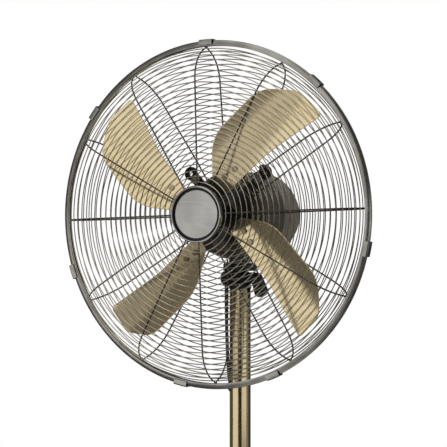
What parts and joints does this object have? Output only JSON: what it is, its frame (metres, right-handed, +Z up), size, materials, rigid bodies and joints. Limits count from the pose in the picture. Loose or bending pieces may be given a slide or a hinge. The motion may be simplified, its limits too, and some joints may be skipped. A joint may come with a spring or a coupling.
{
  "type": "pedestal fan",
  "caption": "Standing fan: round weighted base, telescopic brass pole, tilting and swinging head with a wire guard, swept gold blades and a round motor.",
  "frame": {"origin": "on the floor under the middle of the pole and base", "axes": "+Z up along the pole, -Y the way the fan blows, +X to the right seen from the front"},
  "size_m": [0.4499, 0.39, 1.2264],
  "materials": {
    "brass_plate": "antique brass plating, polished and lacquered",
    "iron_weight": "cast, painted black",
    "foot_rubber": "moulded rubber",
    "zinc_steel": "zinc plated",
    "black_plastic": "moulded, semi-gloss",
    "white_nylon": "moulded nylon",
    "switch_body": "moulded phenolic",
    "black_casting": "die cast, black paint",
    "lead_sheath": "flexible sheath",
    "motor_bronze": "dark bronze gloss paint",
    "core_steel": "stacked laminations",
    "copper_wire": "enamelled copper",
    "bearing_bronze": "sintered bronze",
    "guard_wire": "antique gunmetal plating",
    "guard_band": "antique gunmetal plating, rolled strip",
    "badge_chrome": "bright chrome",
    "badge_brushed": "fine brushed",
    "blade_gold": "champagne gold metallic paint",
    "nut_black": "moulded, left-hand thread",
    "rivet_metal": "plain rivet"
  },
  "bodies": {
    "stand": {"base_cover": "brass_plate", "base_weight": "iron_weight", "base_feet": "foot_rubber", "pole_flange": "brass_plate", "base_bolt": "zinc_steel", "lower_tube": "brass_plate", "guide_bush": "white_nylon", "control_front": "black_plastic", "control_rear": "black_plastic", "control_screws": "zinc_steel", "inlet_gland": "black_plastic", "rotary_switch": "switch_body"},
    "speed_knob": {"speed_knob": "black_plastic"},
    "height_collar": {"height_collar": "black_plastic"},
    "mast": {"upper_tube": "brass_plate", "lead_grommet": "foot_rubber", "neck_fork": "black_casting", "motor_lead": "lead_sheath"},
    "tilt_clamp": {"tilt_bolt": "zinc_steel", "tilt_knob": "black_plastic"},
    "tilt_handle": {"tilt_handle": "black_plastic"},
    "yoke": {"tilt_bracket": "black_casting", "thrust_washer": "white_nylon"},
    "osc_link": {"osc_link": "zinc_steel"},
    "head": {"motor_front_shield": "motor_bronze", "osc_spindle": "zinc_steel", "motor_rear_cover": "motor_bronze", "stator_core": "core_steel", "stator_windings": "copper_wire", "rear_plate": "black_casting", "shaft_bearings": "bearing_bronze", "motor_screws": "zinc_steel", "gear_case": "white_nylon", "run_capacitor": "switch_body", "guard_bracket": "black_casting", "guard_screws": "zinc_steel", "front_guard_spokes": "guard_wire", "front_guard_rings": "guard_wire", "rear_guard_spokes": "guard_wire", "rear_guard_rings": "guard_wire", "front_rim_wire": "guard_wire", "rear_rim_wire": "guard_wire", "rim_band": "guard_band", "rim_clips": "guard_band", "badge_back": "black_plastic", "badge_bezel": "badge_chrome", "badge_plate": "badge_brushed"},
    "rotor": {"motor_shaft": "zinc_steel", "rotor_core": "core_steel", "worm": "core_steel", "blade_1": "blade_gold", "blade_2": "blade_gold", "blade_3": "blade_gold", "blade_4": "blade_gold", "blade_spider": "black_casting", "blade_rivets": "rivet_metal", "blade_nut": "nut_black"},
    "crank": {"worm_wheel": "white_nylon", "crank": "zinc_steel"},
    "osc_knob": {"osc_knob": "black_plastic"}
  },
  "joints": [
    {"name": "speed_turn", "type": "hinge", "parent": "stand", "child": "speed_knob", "pos_m": [0, -0.0393, 0.496], "axis": [0, -1, 0], "range_deg": [0, 135]},
    {"name": "collar_turn", "type": "hinge", "parent": "stand", "child": "height_collar", "pos_m": [0, 0, 0.6], "axis": [0, 0, 1], "range_deg": [0, 90]},
    {"name": "height_slide", "type": "slide", "parent": "stand", "child": "mast", "axis": [0, 0, 1], "range_m": [-0.15, 0.1]},
    {"name": "tilt", "type": "hinge", "parent": "mast", "child": "yoke", "pos_m": [0, 0, 0.916], "axis": [-1, 0, 0], "range_deg": [-8, 25], "deforming": ["motor_lead"]},
    {"name": "tilt_knob_turn", "type": "hinge", "parent": "mast", "child": "tilt_clamp", "pos_m": [0, 0, 0.916], "axis": [-1, 0, 0], "range_deg": [0, 180]},
    {"name": "tilt_handle_turn", "type": "hinge", "parent": "mast", "child": "tilt_handle", "pos_m": [0, 0, 0.916], "axis": [1, 0, 0], "range_deg": [-30, 30]},
    {"name": "oscillate", "type": "hinge", "parent": "yoke", "child": "head", "pos_m": [0, 0, 0.936], "axis": [0, 0, 1], "range_deg": [-38, 38]},
    {"name": "link_swing", "type": "hinge", "parent": "yoke", "child": "osc_link", "pos_m": [0, 0.032, 0.926], "axis": [0, 0, 1], "range_deg": [-70, 70]},
    {"name": "spin", "type": "hinge", "parent": "head", "child": "rotor", "pos_m": [0, -0.081, 1], "axis": [0, 1, 0], "continuous": true},
    {"name": "crank_turn", "type": "hinge", "parent": "head", "child": "crank", "pos_m": [0.0173, 0.053, 1], "axis": [0, 0, 1], "continuous": true},
    {"name": "osc_knob_lift", "type": "slide", "parent": "head", "child": "osc_knob", "axis": [0, 0, 1], "range_m": [0, 0.008]}
  ],
  "couplings": [
    {"joint": "link_swing", "follows": "oscillate", "ratio": 1.55},
    {"joint": "crank_turn", "follows": "spin", "ratio": 0.033333}
  ]
}
